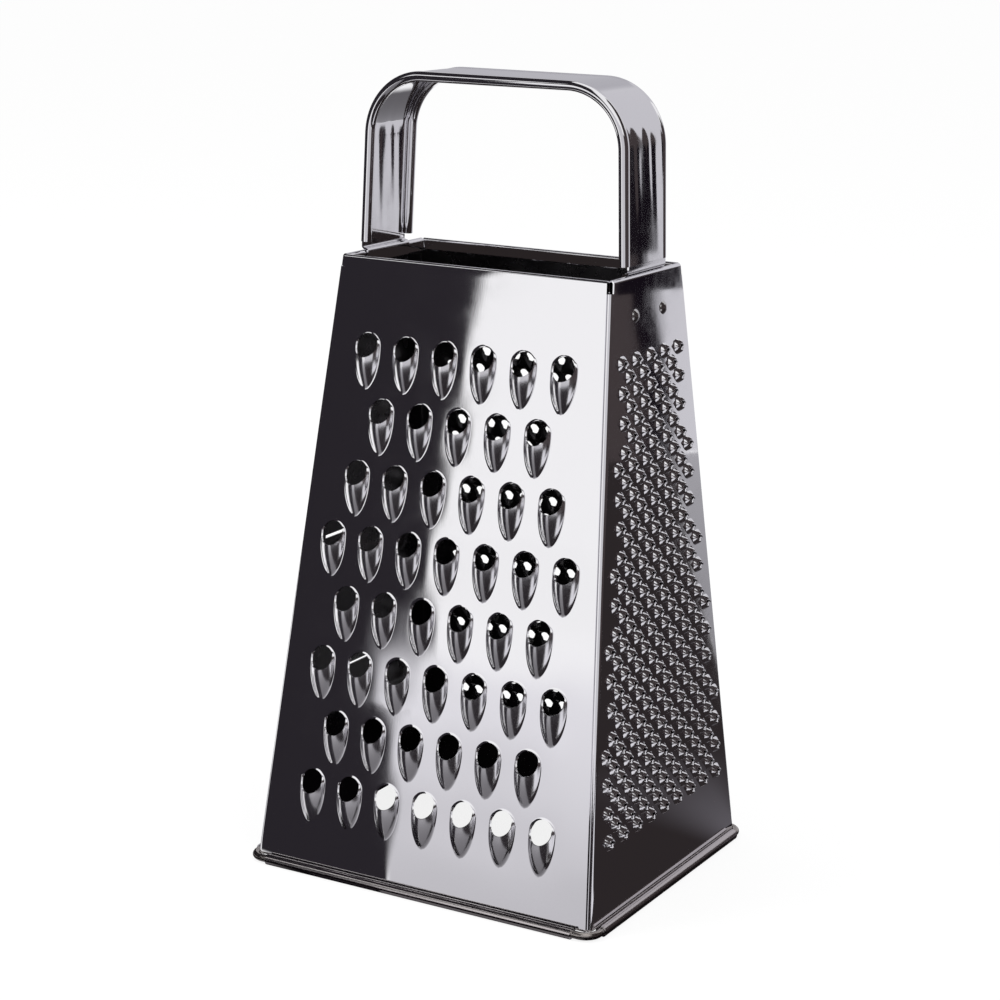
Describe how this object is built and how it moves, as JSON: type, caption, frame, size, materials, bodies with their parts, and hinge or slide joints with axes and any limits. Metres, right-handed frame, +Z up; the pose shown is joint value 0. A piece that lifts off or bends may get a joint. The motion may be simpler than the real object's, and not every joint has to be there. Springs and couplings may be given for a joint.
{
  "type": "box grater",
  "caption": "Free-standing four-sided kitchen grater: tapered box of polished steel with coarse, fine, medium and slicing faces, wired base and a strap handle.",
  "frame": {"origin": "middle of the base, on the table it stands on", "axes": "+Z up through the handle, the coarse face looks along -Y and the star-punched face along +X"},
  "size_m": [0.1106, 0.0952, 0.2175],
  "materials": {
    "panel_steel": "mirror polished stainless sheet",
    "handle_steel": "mirror polished stainless strap",
    "wire_steel": "drawn wire, satin",
    "rivet_steel": "polished rivet"
  },
  "bodies": {
    "root": {"front_coarse_panel": "panel_steel", "right_fine_panel": "panel_steel", "rear_medium_panel": "panel_steel", "left_slicer_panel": "panel_steel", "handle_strap": "handle_steel", "base_wire": "wire_steel", "handle_rivet_right_front": "rivet_steel", "handle_rivet_right_rear": "rivet_steel", "handle_rivet_left_front": "rivet_steel", "handle_rivet_left_rear": "rivet_steel"}
  },
  "joints": []
}
